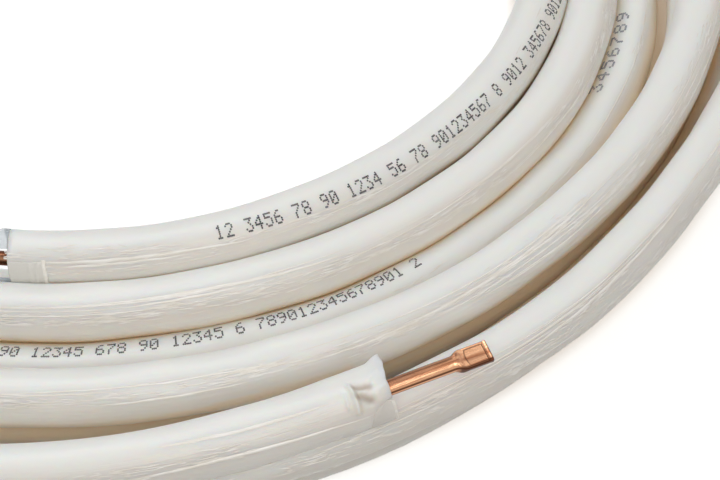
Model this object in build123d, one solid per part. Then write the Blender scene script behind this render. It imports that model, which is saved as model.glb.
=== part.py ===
from build123d import *
import math
import os

# A coil of insulated copper tube that lies flat. Its foam sleeve is wound two turns high round
# an open eye, and both ends of the tube come free. Sizes are in millimetres, +Z is up and the
# floor is at zero. Angles are in degrees round the coil's axis, from +X towards +Y.

# The copper tube
tube_diameter = 6.35
tube_wall = 0.8

# The foam sleeve on it, which is bored at its two ends
foam_thickness = 9.0
bore_clearance = 0.15
bore_depth = 50.0
bore_play = 0.3

# How the turns are packed: neighbours touch and press into each other by the squash
first_turn_radius = 207.0
squash = 0.4
rest_gap = 1.2
top_lean = 91.0
second_lean = -26.0
fourth_lean = 66.0
fifth_lean = 45.0

# The inner end, on the top turn next to the eye. The far side of that turn dives to the floor:
# each mark of the dive gives its angle, how far it swings into the eye, and its height.
inner_end_angle = -111.5
inner_copper = 28.0
dive_angle = 60.0
dive_marks = ((105.0, 13.0, 30.0), (150.0, 14.5, 16.0))
dive_end_angle = 215.0
dive_bends = 12

# The outer end, which climbs from between the outer turns and then lies on the last of them
outer_start_angle = -380.0
outer_top_angle = -345.0
outer_crest_angle = -328.0
outer_edge_angles = (-310.0, -110.0)
outer_bend_angle = -91.5
outer_end_angle = -79.5
outer_bends = 25
outer_edge_lean = 68.0
outer_end_lean = 72.0
outer_copper = 26.5

# The pinched tip that closes the outer end of the copper
neck_length = 5.0
pinch_length = 13.0
pinch_slit = 0.5
pinch_tilt = 12.0
recess_length = 9.5
recess_depth = 0.4
recess_rim = 1.1

sleeve_radius = tube_diameter / 2 + foam_thickness
tube_radius = tube_diameter / 2
bore_radius = tube_radius + bore_clearance
pitch = 2 * sleeve_radius - squash
clear_pitch = 2 * sleeve_radius + rest_gap


def beside(centre, lean, distance):
    """The centre (radius, height) of a turn that lies against another at a given lean."""
    angle = math.radians(lean)
    return (centre[0] + distance * math.cos(angle), centre[1] + distance * math.sin(angle))


def beside_on_floor(centre):
    """The centre of a turn on the floor, against the outside of another."""
    drop = centre[1] - sleeve_radius
    return (centre[0] + math.sqrt(pitch**2 - drop**2), sleeve_radius)


floor_1 = (first_turn_radius, sleeve_radius)
top_1 = beside(floor_1, top_lean, pitch)
top_2 = beside(top_1, second_lean, pitch)
floor_3 = beside_on_floor(top_2)
floor_4 = beside_on_floor(floor_3)
floor_5 = beside_on_floor(floor_4)
top_4 = beside(floor_4, fourth_lean, pitch)
top_5 = beside(floor_5, fifth_lean, pitch)


def place(angle, radius, height):
    """A point of the coil from its angle, radius and height."""
    turn = math.radians(angle)
    return Vector(radius * math.cos(turn), radius * math.sin(turn), height)


def eased(marks, angle):
    """The centre (radius, height) at an angle, which moves gently from each mark to the next."""
    for (first, start), (last, end) in zip(marks, marks[1:]):
        if angle <= last:
            break
    share = min((angle - first) / (last - first), 1.0)
    share = (1 - math.cos(math.pi * share)) / 2
    return [start[side] + (end[side] - start[side]) * share for side in (0, 1)]


def route(points):
    """Straight runs joined by tangent arcs that are as large as the runs allow."""
    runs = [after - before for before, after in zip(points, points[1:])]
    radii = []
    for before, after in zip(runs, runs[1:]):
        half_turn = math.radians(before.get_angle(after)) / 2
        radii.append(0.45 * min(before.length, after.length) / math.tan(half_turn))
    return FilletPolyline(*points, radius=radii)


def start_plane(path):
    """The plane square to the start of a path."""
    return Plane(origin=path @ 0, z_dir=path % 0)


def closed_turns():
    """The turns that close on themselves, turned about the axis."""
    section = Sketch()
    for centre in (floor_1, top_2, floor_3, floor_4, floor_5, top_4, top_5):
        section += Plane.XZ * Pos(*centre) * Circle(sleeve_radius)
    return revolve(section, Axis.Z, 360)


def turned_arc(centre, outline, first, last):
    """A sketch turned about the axis between two angles, at one turn's centre."""
    section = Plane.XZ * Pos(*centre) * outline
    return Rot(0, 0, first) * revolve(section, Axis.Z, last - first)


def inner_dive():
    """The far side of the inner turn, which swings into the eye and dives to the floor."""
    marks = [(dive_angle, top_1)]
    for angle, inset, height in dive_marks:
        marks.append((angle, (first_turn_radius - inset, height)))
    marks.append((dive_end_angle, ((floor_1[0] + top_2[0]) / 2, sleeve_radius)))
    start = place(dive_angle, *top_1)
    step = (dive_end_angle - dive_angle) / dive_bends
    run = top_1[0] * math.radians(step) / 2
    points = [start, start + place(dive_angle + 90, run, 0)]
    for bend in range(1, dive_bends + 1):
        angle = dive_angle + step * bend
        points.append(place(angle, *eased(marks, angle)))
    path = route(points)
    return sweep(start_plane(path) * Circle(sleeve_radius), path=path)


def outer_route():
    """The path of the outer end, from between the outer turns to the cut end of its sleeve."""
    groove = ((top_4[0] + top_5[0]) / 2, sleeve_radius + tube_diameter)
    crest = beside(top_5, 90, clear_pitch)
    edge = beside(top_5, outer_edge_lean, clear_pitch)
    end = beside(top_5, outer_end_lean, clear_pitch)
    marks = [(outer_start_angle, groove), (outer_top_angle, (groove[0], crest[1]))]
    marks += [(outer_crest_angle, crest)]
    marks += [(angle, edge) for angle in outer_edge_angles]
    marks += [(outer_end_angle, end)]
    step = (outer_bend_angle - outer_start_angle) / (outer_bends - 1)
    angles = [outer_start_angle + step * bend for bend in range(outer_bends)]
    return route([place(angle, *eased(marks, angle)) for angle in angles + [outer_end_angle]])


outer_path = outer_route()
cut_across = (outer_path % 1).cross(Vector(0, 0, 1))
cut_plane = Plane(origin=outer_path @ 1, x_dir=cut_across, z_dir=outer_path % 1)


def foam_sleeve():
    """The foam sleeve: its closed turns, the two ends of the winding and the bores in them."""
    bore_angle = math.degrees(bore_depth / top_1[0])
    sleeve = closed_turns()
    sleeve += turned_arc(top_1, Circle(sleeve_radius), inner_end_angle, dive_angle)
    sleeve += inner_dive()
    sleeve += sweep(start_plane(outer_path) * Circle(sleeve_radius), path=outer_path)
    sleeve -= turned_arc(top_1, Circle(bore_radius), inner_end_angle, inner_end_angle + bore_angle)
    sleeve -= extrude(cut_plane * Circle(bore_radius), -bore_depth)
    return sleeve


def inner_tube():
    """The inner end of the copper: curved in its sleeve, then straight to an open, square cut."""
    held = bore_depth - bore_play
    held_angle = math.degrees(held / top_1[0])
    ring = Circle(tube_radius) - Circle(tube_radius - tube_wall)
    tube = turned_arc(top_1, ring, inner_end_angle, inner_end_angle + held_angle)
    mouth = Plane(origin=place(inner_end_angle, *top_1), z_dir=place(inner_end_angle - 90, 1, 0))
    return tube + extrude(mouth * ring, inner_copper)


def pinched_tip():
    """The tip of the outer end, from its round neck to the crimped flat, along +Z from zero."""
    wall_middle = tube_radius - tube_wall / 2
    thickness = 2 * tube_wall + pinch_slit
    width = math.pi * wall_middle + tube_wall
    slit = width - 2 * tube_wall
    neck = loft([Circle(tube_radius).face(), Pos(0, 0, neck_length) * SlotOverall(width, thickness).face()])
    inside = loft([Circle(tube_radius - tube_wall).face(), Pos(0, 0, neck_length) * SlotOverall(slit, pinch_slit).face()])
    flat = extrude(Pos(0, 0, neck_length) * (SlotOverall(width, thickness) - SlotOverall(slit, pinch_slit)), pinch_length)
    tip = (neck - inside) + flat
    recess = Box(width - 2 * recess_rim, 2 * recess_depth, recess_length)
    middle = neck_length + pinch_length / 2
    for side in (-1, 1):
        tip -= Pos(0, side * thickness / 2, middle) * recess
    return tip


def outer_tube():
    """The outer end of the copper: a straight tube out of its sleeve, and its pinched tip."""
    held = bore_depth - bore_play
    ring = Circle(tube_radius) - Circle(tube_radius - tube_wall)
    tube = Pos(0, 0, -held) * extrude(ring, held + outer_copper)
    tube += Pos(0, 0, outer_copper) * Rot(0, 0, pinch_tilt) * pinched_tip()
    return cut_plane.location * tube


pieces = {
    "foam_sleeve": [foam_sleeve()],
    "copper_tube": [inner_tube(), outer_tube()],
}

# The origin is on the floor, below the middle of the coil's footprint
footprint = pieces["foam_sleeve"][0].bounding_box().center()
shift = Pos(-footprint.X, -footprint.Y, 0)

os.makedirs("parts", exist_ok=True)
for name, solids in pieces.items():
    placed = Compound(children=[shift * solid for part in solids for solid in part.solids()])
    export_step(placed, f"parts/{name}.step")
    box = placed.bounding_box()
    print(name, len(placed.solids()), round(placed.volume), box.min, box.max)
print("outer sleeve", round(outer_path.length), "shift", shift.position)
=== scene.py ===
import math

import bpy
import numpy as np
from mathutils import Matrix


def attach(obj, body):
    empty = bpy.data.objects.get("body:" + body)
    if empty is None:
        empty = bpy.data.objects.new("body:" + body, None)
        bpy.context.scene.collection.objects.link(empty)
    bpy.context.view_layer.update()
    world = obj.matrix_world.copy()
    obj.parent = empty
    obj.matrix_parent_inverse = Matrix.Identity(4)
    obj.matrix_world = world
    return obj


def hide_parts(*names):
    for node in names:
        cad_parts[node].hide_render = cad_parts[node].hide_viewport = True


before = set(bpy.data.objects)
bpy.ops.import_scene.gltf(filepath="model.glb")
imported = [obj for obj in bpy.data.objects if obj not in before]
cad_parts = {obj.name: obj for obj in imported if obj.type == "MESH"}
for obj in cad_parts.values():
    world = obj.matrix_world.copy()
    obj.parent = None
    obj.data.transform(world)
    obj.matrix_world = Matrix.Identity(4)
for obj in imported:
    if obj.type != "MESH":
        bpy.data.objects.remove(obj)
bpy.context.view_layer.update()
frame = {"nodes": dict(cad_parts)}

mm = 0.001
print("frame loaded:", ", ".join(frame["nodes"]))

# A flat coil of soft copper tube in a white foam sleeve, wound two turns high.
# Lengths in the dictionaries are mm. Angles are degrees round the coil's axis from +X. "Around" is
# degrees round the sleeve: 0 faces out of the coil and 90 faces up. "Back" is mm from a cut end.


def smoothStep(value, first, last):
    share = np.clip((np.asarray(value, float) - first) / (last - first), 0, 1)
    return share * share * (3 - 2 * share)


def bell(value, middle, width):
    return np.exp(-((value - middle) / width) ** 2)


def linearColour(hexCode):
    parts = [int(hexCode[i:i + 2], 16) / 255 for i in (1, 3, 5)]
    return [p / 12.92 if p <= 0.04045 else ((p + 0.055) / 1.055) ** 2.4 for p in parts] + [1.0]


def addNode(tree, kind, settings=None, inputs=None):
    # an input is another node's output, which is linked to it, or a plain value
    node = tree.nodes.new(kind)
    for name, value in (settings or {}).items():
        setattr(node, name, value)
    for socket, value in (inputs or {}).items():
        if isinstance(value, bpy.types.NodeSocket):
            tree.links.new(value, node.inputs[socket])
        else:
            node.inputs[socket].default_value = value
    return node


def newMaterial(name):
    material = bpy.data.materials.new(name)
    material.use_nodes = True
    material.node_tree.nodes.clear()
    return material, material.node_tree


# The winding
winding = {
    "axis": (3.942, -0.56),    # the coil's axis from the frame's origin
    "sleeve": 24.35,           # foam outside diameter
    "squash": 1.1,             # how far turns that touch press into each other
    "thinness": ((1980, 1.0), (2040, 0.957), (2760, 0.94)),  # share of the foam by angle
    "step": 2.0,               # degrees between the points that settle
    "passes": 600,
    "push": 0.25,              # share of an overlap that each turn gives way in a pass
    "stiffness": 0.8,          # how far a pass evens out the tube
    "looseHold": 0.006,        # how firmly a station holds its turn in a pass, at the back
    "frontHold": 0.081,        # and at the front
    "front": (243.0, 355.0),
    "lengthStep": 0.25,        # degrees between the points that the length is measured at
    # turn, angle, radius, height of the tube's middle
    "stations": (
        (0, -111.3, 204.3, 36.8), (0, -85, 204.8, 36.2), (0, -60, 205.8, 35.4), (0, -45, 206.8, 35.4),
        (0, -10, 207.3, 35.6), (0, 60, 206.5, 36), (0, 105, 194, 30), (0, 150, 192.5, 16),
        (0, 215, 205, 12.2),
        (1, -100, 205, 12.2), (1, 90, 205, 12.2), (1, 150, 224, 25.9),
        (2, -100, 227, 28.4), (2, -60, 230.4, 27.6), (2, -45, 231.6, 28.6), (2, -28, 230.2, 28.9),
        (2, -10, 229.6, 29), (2, 60, 229, 25.9), (2, 125, 247, 12.2),
        (3, -100, 245.5, 12.2), (3, -60, 249, 12.2), (3, -10, 250, 12.2), (3, 45, 250, 12.2),
        (3, 105, 271.5, 12.2),
        (4, -100, 271, 12.2), (4, -50, 274, 12.2), (4, -20, 279, 12.2), (4, 5, 278, 12.2),
        (4, 25, 272.5, 12.2), (4, 85, 296, 12.2),
        (5, -100, 308, 12.2), (5, -84, 310.6, 12.2), (5, -77, 306.4, 12.2), (5, -70, 302, 12.2),
        (5, -55, 299.5, 12.2), (5, -10, 303, 12.2), (5, 35, 292, 26), (5, 62, 283, 37),
        (5, 120, 283, 37), (5, 200, 280.5, 34.8),
        (6, -112, 278, 36), (6, -100, 278.4, 35.6), (6, -86, 279.8, 35), (6, -70, 281.4, 34.3),
        (6, -57, 280.4, 35.1), (6, -40, 280.9, 35.1), (6, -20, 282.8, 35.6), (6, 5, 288, 37),
        (6, 25, 312.8, 29.1), (6, 200, 312.8, 29.1),
        (7, -112, 317, 28), (7, -85, 315.3, 28.3), (7, -70, 313.8, 30.1), (7, -45, 308.3, 31),
        (7, -20, 313.8, 32.5), (7, 15, 308, 56), (7, 32, 314, 53.5), (7, 50, 321.5, 51.8),
        (7, 200, 321.5, 51.5),
        (8, -104, 325, 47.2), (8, -92, 323.2, 47.6), (8, -79.8, 321, 49),
    ),
}


def easedStations(w):
    marks = np.array([station[0] * 360 + station[1] for station in w["stations"]], float)
    angles = np.append(np.arange(marks[0], marks[-1], w["step"]), marks[-1])
    run = np.clip(np.searchsorted(marks, angles, side="right") - 1, 0, len(marks) - 2)
    share = (angles - marks[run]) / (marks[run + 1] - marks[run])
    share = (1 - np.cos(np.pi * share)) / 2
    columns = []
    for column in (2, 3):
        values = np.array([station[column] for station in w["stations"]], float)
        columns.append(values[run] + (values[run + 1] - values[run]) * share)
    return angles, columns[0], columns[1]


def settledWinding(w):
    # turns that overlap push each other apart, the stations pull back and the tube's stiffness
    # evens it all out
    angles, radius, height = easedStations(w)
    aimRadius, aimHeight = radius.copy(), height.copy()
    perTurn = int(360 / w["step"])
    around = angles % 360
    atFront = (around >= w["front"][0]) & (around <= w["front"][1])
    hold = np.where(atFront, w["frontHold"], w["looseHold"])
    count = len(angles)
    for _ in range(w["passes"]):
        pushOut, pushUp = np.zeros(count), np.zeros(count)
        for later in range(perTurn, count, perTurn):
            near, far = slice(0, count - later), slice(later, count)
            across, rise = radius[far] - radius[near], height[far] - height[near]
            apart = np.hypot(across, rise)
            overlap = w["push"] * np.clip(w["sleeve"] - w["squash"] - apart, 0, None) / apart
            pushOut[near] -= overlap * across
            pushUp[near] -= overlap * rise
            pushOut[far] += overlap * across
            pushUp[far] += overlap * rise
        radius = radius + pushOut
        height = height + pushUp
        radius += (aimRadius - radius) * hold
        height += (aimHeight - height) * hold
        for line in (radius, height):
            evened = (line[:-2] + 2 * line[1:-1] + line[2:]) / 4
            line[1:-1] += w["stiffness"] * (evened - line[1:-1])
        height = np.maximum(height, w["sleeve"] / 2)
    return angles, radius, height


windAngles, windRadius, windHeight = settledWinding(winding)


def centreAt(angles):
    radius = np.interp(angles, windAngles, windRadius)
    height = np.interp(angles, windAngles, windHeight)
    turn = np.radians(angles)
    return np.stack([radius * np.cos(turn) + winding["axis"][0],
                     radius * np.sin(turn) + winding["axis"][1], height], -1)


lengthAngles = np.arange(windAngles[0], windAngles[-1] + winding["lengthStep"], winding["lengthStep"])
lengthAngles[-1] = windAngles[-1]
lengthSteps = np.linalg.norm(np.diff(centreAt(lengthAngles), axis=0), axis=1)
lengthAlong = np.append(0, np.cumsum(lengthSteps))
print("winding settled: %.2f m of tube" % (lengthAlong[-1] * mm))


def framesAt(angles):
    # middle, outward and upward directions, and the length from the inner end
    angles = np.asarray(angles, float)
    after, before = np.minimum(angles + 1, windAngles[-1]), np.maximum(angles - 1, windAngles[0])
    ahead = centreAt(after) - centreAt(before)
    ahead /= np.linalg.norm(ahead, axis=-1, keepdims=True)
    out = np.cross(ahead, (0.0, 0.0, 1.0))
    out /= np.linalg.norm(out, axis=-1, keepdims=True)
    up = np.cross(out, ahead)
    return centreAt(angles), out, up, np.interp(angles, lengthAngles, lengthAlong)


# The foam's own slight unevenness, from a number of waves along and round it
unevenness = {
    "seed": 11,
    "waves": 16,
    "length": (38.0, 420.0),
    "lobes": 6,                # at most, round the sleeve
    "height": 0.085,
}
dice = np.random.default_rng(unevenness["seed"])
waveLengths = np.exp(dice.uniform(*np.log(unevenness["length"]), unevenness["waves"]))
waveLobes = dice.integers(0, unevenness["lobes"], unevenness["waves"])
wavePhases = dice.uniform(0, 2 * math.pi, (2, unevenness["waves"]))


def reliefAt(along, around):
    total = np.zeros(np.broadcast(along, around).shape)
    for length, lobes, first, second in zip(waveLengths, waveLobes, *wavePhases):
        total += np.sin(2 * math.pi * along / length + first) * np.cos(lobes * around + second)
    return total * unevenness["height"]


def foamRadius(angles):
    return winding["sleeve"] / 2 * np.interp(angles, *zip(*winding["thinness"]))


# The foam's outer end is pressed in on the side that faces out and down
pressedEnd = {"depth": 7.5, "length": 11.0, "middle": -38.0, "spread": (0.25, 0.8)}


def roundedEnd(back, around):
    # how far the foam is pressed in there, in mm
    p = pressedEnd
    depth = p["depth"] * smoothStep(np.cos(np.radians(around - p["middle"])), *p["spread"])
    return depth * (1 - np.sqrt(1 - np.clip((p["length"] - back) / p["length"], 0, 1) ** 2))


def onSleeve(angles, around, lift=0.0):
    # points on the sleeve's skin
    centre, out, up, along = framesAt(angles)
    phi = np.radians(around)
    pressed = roundedEnd(lengthAlong[-1] - along, around)
    reach = foamRadius(angles) + reliefAt(along, phi) + lift - pressed
    direction = out * np.cos(phi)[..., None] + up * np.sin(phi)[..., None]
    points = (centre + direction * reach[..., None]) * mm
    points[..., 2] = np.maximum(points[..., 2], 0)
    return points


# How far the other turns close the skin in: from rays in the coil's section; where they do, shade is painted
# on the skin
shelter = {
    "rayStep": 11.25,
    "play": 0.4,               # a ray may graze another turn by this much
    "low": (0.55, 0.95),       # where the painted shade starts and is full, low down in the coil
    "high": (0.76, 1.0),       # and high up, where the light comes through less foam and less shade is painted
    "levels": (18.0, 30.0),    # heights of low and high
}


def shelterAt(angles, around):
    # 0 where the skin lies open and 1 where it is closed in
    angles, around = (np.ravel(values) for values in np.broadcast_arrays(angles, around))
    phi = np.radians(around)
    half = winding["sleeve"] / 2
    spotOut = np.interp(angles, windAngles, windRadius) + half * np.cos(phi)
    spotUp = np.interp(angles, windAngles, windHeight) + half * np.sin(phi)
    rays = np.radians(np.arange(0, 360, shelter["rayStep"]))
    weight = np.clip(np.cos(rays[None, :] - phi[:, None]), 0, None)
    free = np.ones(weight.shape, bool)
    for turns in range(-8, 9):
        other = angles + 360 * turns
        there = (other >= windAngles[0]) & (other <= windAngles[-1])
        if turns == 0 or not there.any():
            continue
        across = np.interp(other[there], windAngles, windRadius) - spotOut[there]
        rise = np.interp(other[there], windAngles, windHeight) - spotUp[there]
        ahead = across[:, None] * np.cos(rays) + rise[:, None] * np.sin(rays)
        miss = (across ** 2 + rise ** 2)[:, None] - ahead ** 2
        free[there] &= (ahead < 0) | (miss > (half - shelter["play"]) ** 2)
    return 1 - (weight * free).sum(1) / weight.sum(1)


def meshPiece(name, points, faces, material, smooth=True, flipped=False):
    # flipped: the faces are given inside out
    mesh = bpy.data.meshes.new(name)
    step = -1 if flipped else 1
    mesh.from_pydata(np.asarray(points).tolist(), [], [tuple(map(int, face))[::step] for face in faces])
    mesh.validate()
    mesh.update()
    mesh.polygons.foreach_set("use_smooth", [smooth] * len(mesh.polygons))
    piece = bpy.data.objects.new(name, mesh)
    bpy.context.scene.collection.objects.link(piece)
    mesh.materials.append(material)
    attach(piece, "root")
    return piece


def gridFaces(rows, columns, start=0):
    # a tube of rows rings with columns points each, closed round
    row, column = np.meshgrid(np.arange(rows - 1), np.arange(columns), indexing="ij")
    after = (column + 1) % columns
    base = start + row * columns
    quads = np.stack([base + column, base + after, base + columns + after, base + columns + column], -1)
    return quads.reshape(-1, 4).tolist()


def sheetFaces(rows, columns):
    # a sheet of rows lines with columns points each, open all round
    row, column = np.meshgrid(np.arange(rows - 1), np.arange(columns - 1), indexing="ij")
    base = row * columns + column
    return np.stack([base, base + 1, base + columns + 1, base + columns], -1).reshape(-1, 4)


def skinPlaces(along, phi):
    half = winding["sleeve"] / 2 * mm
    along, phi = np.broadcast_arrays(along, phi)
    return np.stack([along, half * np.cos(phi), half * np.sin(phi)], -1)


def storeValue(piece, name, values):
    attribute = piece.data.attributes.new(name, "FLOAT", "POINT")
    attribute.data.foreach_set("value", np.asarray(values, np.float32).ravel())


def storePlaces(piece, places):
    # where each point lies on the tube, in metres: along it, and across it on two axes
    attribute = piece.data.attributes.new("skinPlace", "FLOAT_VECTOR", "POINT")
    attribute.data.foreach_set("vector", np.asarray(places, np.float32).ravel())


# Materials
skin = {
    "top": "#F0F2EF",
    # the side that faces out of the coil: partly stretched film, partly painted shade
    "warm": "#E8E3DC",
    "deep": "#F6DFC0",         # painted shade between the turns, warm, for the shade there and the light that only comes by way of the cream foam
    "fold": "#C9BFB3",         # painted shade in the folds of the gathered end
    "roughness": 0.36,
    "spread": 0.55,            # share of the light that spreads in the foam
    "depth": 7.0,              # and how far it goes
    "stretched": (4.0, 9.0),   # from how far out the film is stretched and has painted shade, and where it is so in full
    "relief": 0.07,            # mm for a full step of the bump
    # patterns: length along and width across the tube, detail, and the noise from none to full
    "streak": ((60.0, 1.0), 1.0, 0.3, 0.7),         # lines from the extruder
    "fineStreak": ((30.0, 0.8), 2.0, 0.35, 0.65),   # really about 0.2 mm wide: wider, so that they show
    "wrinkle": ((6.0, 0.7), 1.0, 0.5, 0.7),         # short wrinkles, really down to 0.1 mm: wider too
    "patch": ((80.0, 9.0), 1.0, 0.42, 0.6),         # the patches that they come in
    "cloud": ((160.0, 12.0), 3.0, 0.3, 0.7),        # uneven film thickness
}


def pattern(tree, place, size, detail, low=0.0, high=1.0):
    # soft noise stretched along the tube: size is its length and width in mm
    perMetre = (1000 / size[0], 1000 / size[1], 1000 / size[1])
    scaled = addNode(tree, "ShaderNodeMapping", inputs={"Vector": place, "Scale": perMetre}).outputs["Vector"]
    noise = addNode(tree, "ShaderNodeTexNoise", inputs={"Vector": scaled, "Scale": 1.0, "Detail": detail,
                                                        "Roughness": 0.5}).outputs["Fac"]
    return addNode(tree, "ShaderNodeMapRange", {"interpolation_type": "SMOOTHSTEP"},
                   {"Value": noise, "From Min": low, "From Max": high}).outputs["Result"]


def filmOnFoam():
    # Blown polyethylene film welded to closed-cell foam: off-white, satin, with fine lines along the
    # tube from the extruder. Outside each bend it is stretched, wrinkled and lets more of the cream
    # foam show. The side that faces out of the coil is painted warmer and darker: partly that cream
    # foam, partly painted shade of the flanks.
    material, tree = newMaterial("filmOnFoam")
    place = addNode(tree, "ShaderNodeAttribute", {"attribute_name": "skinPlace"}).outputs["Vector"]
    across = addNode(tree, "ShaderNodeSeparateXYZ", inputs={0: place}).outputs["Y"]
    first, full = skin["stretched"]
    outside = addNode(tree, "ShaderNodeMapRange", {"interpolation_type": "SMOOTHSTEP"},
                      {"Value": across, "From Min": first * mm, "From Max": full * mm}).outputs["Result"]

    # relief: sunk lines, most of them where the film is stretched
    streak, fine, wrinkle, patch, cloud = (
        pattern(tree, place, *skin[name]) for name in ("streak", "fineStreak", "wrinkle", "patch", "cloud"))
    wrinkled = addNode(tree, "ShaderNodeMath", {"operation": "MULTIPLY"}, {0: wrinkle, 1: patch}).outputs[0]
    height = 0.0
    for layer, share in ((streak, 0.5), (fine, 0.3), (wrinkled, 0.6)):
        height = addNode(tree, "ShaderNodeMath", {"operation": "MULTIPLY_ADD"},
                         {0: layer, 1: share, 2: height}).outputs[0]
    strength = addNode(tree, "ShaderNodeMath", {"operation": "ADD"}, {0: outside, 1: 0.25}).outputs[0]
    height = addNode(tree, "ShaderNodeMath", {"operation": "MULTIPLY"}, {0: height, 1: strength}).outputs[0]
    bump = addNode(tree, "ShaderNodeBump", {"invert": True},
                   {"Height": height, "Strength": 1.0, "Distance": skin["relief"] * mm})

    # colour: warmer and darker on the side that faces out, partly from the stretched film and partly as
    # painted shade, and by clouds
    stretched = addNode(tree, "ShaderNodeMath", {"operation": "ADD"}, {0: outside, 1: 0.12}).outputs[0]
    clouded = addNode(tree, "ShaderNodeMath", {"operation": "MULTIPLY_ADD"},
                      {0: cloud, 1: 0.5, 2: 0.45}).outputs[0]
    stretchAndShade = addNode(tree, "ShaderNodeMath", {"operation": "MULTIPLY"}, {0: stretched, 1: clouded}).outputs[0]
    tone = addNode(tree, "ShaderNodeMix", {"data_type": "RGBA"},
                   {0: stretchAndShade, 6: linearColour(skin["top"]), 7: linearColour(skin["warm"])}).outputs[2]
    # painted shade where the other turns close the skin in, and in the folds of the gathered end
    for name, colour in (("paintedShadeBetweenTurns", skin["deep"]), ("paintedFoldShade", skin["fold"])):
        share = addNode(tree, "ShaderNodeAttribute", {"attribute_name": name}).outputs["Fac"]
        tone = addNode(tree, "ShaderNodeMix", {"data_type": "RGBA"},
                       {0: share, 6: tone, 7: linearColour(colour)}).outputs[2]
    shader = addNode(tree, "ShaderNodeBsdfPrincipled",
                     inputs={"Base Color": tone, "Normal": bump.outputs["Normal"],
                             "Roughness": skin["roughness"], "Subsurface Weight": skin["spread"],
                             "Subsurface Radius": (1.0, 0.6, 0.36), "Subsurface Scale": skin["depth"] * mm})
    addNode(tree, "ShaderNodeOutputMaterial", inputs={"Surface": shader.outputs["BSDF"]})
    return material


def creasedFilm():
    # The same film where a fold has stretched it: glossier than the film around it, and whiter, partly from
    # the stretching and partly as a painted highlight on the ridges
    material, tree = newMaterial("creasedFilm")
    place = addNode(tree, "ShaderNodeAttribute", {"attribute_name": "skinPlace"}).outputs["Vector"]
    whitened = pattern(tree, place, (9.0, 2.0), 2.0, 0.3, 0.7)
    tone = addNode(tree, "ShaderNodeMix", {"data_type": "RGBA"},
                   {0: whitened, 6: linearColour("#EFEAE0"), 7: linearColour("#F9F7F3")}).outputs[2]
    shader = addNode(tree, "ShaderNodeBsdfPrincipled",
                     inputs={"Base Color": tone, "Roughness": 0.24, "Specular IOR Level": 0.6})
    addNode(tree, "ShaderNodeOutputMaterial", inputs={"Surface": shader.outputs["BSDF"]})
    return material


def looseFilm(name, colour, alpha, roughness):
    # Polyethylene film on its own, glossy and so thin that what lies behind it shows through
    material, tree = newMaterial(name)
    place = addNode(tree, "ShaderNodeAttribute", {"attribute_name": "skinPlace"}).outputs["Vector"]
    crumpled = pattern(tree, place, (14.0, 3.0), 2.0)
    bump = addNode(tree, "ShaderNodeBump",
                   inputs={"Height": crumpled, "Strength": 1.0, "Distance": 0.25 * mm})
    shader = addNode(tree, "ShaderNodeBsdfPrincipled",
                     inputs={"Base Color": linearColour(colour), "Roughness": roughness, "Alpha": alpha,
                             "Normal": bump.outputs["Normal"]})
    addNode(tree, "ShaderNodeOutputMaterial", inputs={"Surface": shader.outputs["BSDF"]})
    return material


copperSkin = {
    "dark": "#904C29",
    "bright": "#E6AA80",
    "drawLine": ((55.0, 2.4), 2.0, 0.34, 0.66),     # bands of lines that the die leaves
    # its scratches are really some 0.05 mm wide: drawn wider, so that they show
    "scratch": ((16.0, 0.35), 2.0, 0.3, 0.7),
    "scratchColour": "#F4CEAC",
    "scratchShare": 0.35,
    # some tarnish, with painted shade and painted reflection, in one dark brown
    "tarnishAndPaintedShadeColour": "#3F1E0F",
    "tarnishAndPaintedShadeShare": 0.95,
    "roughness": (0.09, 0.2),  # between the scratches and on them
    "relief": 0.03,
}


def drawnCopper():
    # Soft annealed copper, drawn through a die: salmon, glossy, with lines along the tube that are
    # darker, fine pale scratches sunk between them, and brown: some tarnish, painted shade on the
    # flat and painted reflection in lines along the round tube
    material, tree = newMaterial("drawnCopper")
    place = addNode(tree, "ShaderNodeAttribute", {"attribute_name": "skinPlace"}).outputs["Vector"]
    line, scratch = (pattern(tree, place, *copperSkin[name]) for name in ("drawLine", "scratch"))
    stainAndShade = addNode(tree, "ShaderNodeAttribute", {"attribute_name": "tarnishAndPaintedShade"}).outputs["Fac"]
    tone = addNode(tree, "ShaderNodeMix", {"data_type": "RGBA"},
                   {0: line, 6: linearColour(copperSkin["dark"]),
                    7: linearColour(copperSkin["bright"])}).outputs[2]
    for name, layer in (("scratch", scratch), ("tarnishAndPaintedShade", stainAndShade)):
        amount = addNode(tree, "ShaderNodeMath", {"operation": "MULTIPLY"},
                         {0: layer, 1: copperSkin[name + "Share"]}).outputs[0]
        tone = addNode(tree, "ShaderNodeMix", {"data_type": "RGBA"},
                       {0: amount, 6: tone, 7: linearColour(copperSkin[name + "Colour"])}).outputs[2]
    smooth, rough = copperSkin["roughness"]
    gloss = addNode(tree, "ShaderNodeMapRange", inputs={"Value": scratch, "To Min": smooth, "To Max": rough})
    bump = addNode(tree, "ShaderNodeBump", {"invert": True},
                   {"Height": scratch, "Strength": 1.0, "Distance": copperSkin["relief"] * mm})
    shader = addNode(tree, "ShaderNodeBsdfPrincipled",
                     inputs={"Base Color": tone, "Metallic": 1.0, "Roughness": gloss.outputs["Result"],
                             "Normal": bump.outputs["Normal"]})
    addNode(tree, "ShaderNodeOutputMaterial", inputs={"Surface": shader.outputs["BSDF"]})
    return material


filmSkin = filmOnFoam()
foldedFilm = creasedFilm()
flapFilm = looseFilm("looseWhiteFilm", "#F4F1EC", 0.6, 0.3)
tapeFilm = looseFilm("clearFilm", "#B4C0C8", 0.45, 0.2)
smoothTape = looseFilm("clearTapeOnFilm", "#DEDCD6", 1.0, 0.24)
copper = drawnCopper()
print("materials made")

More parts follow.
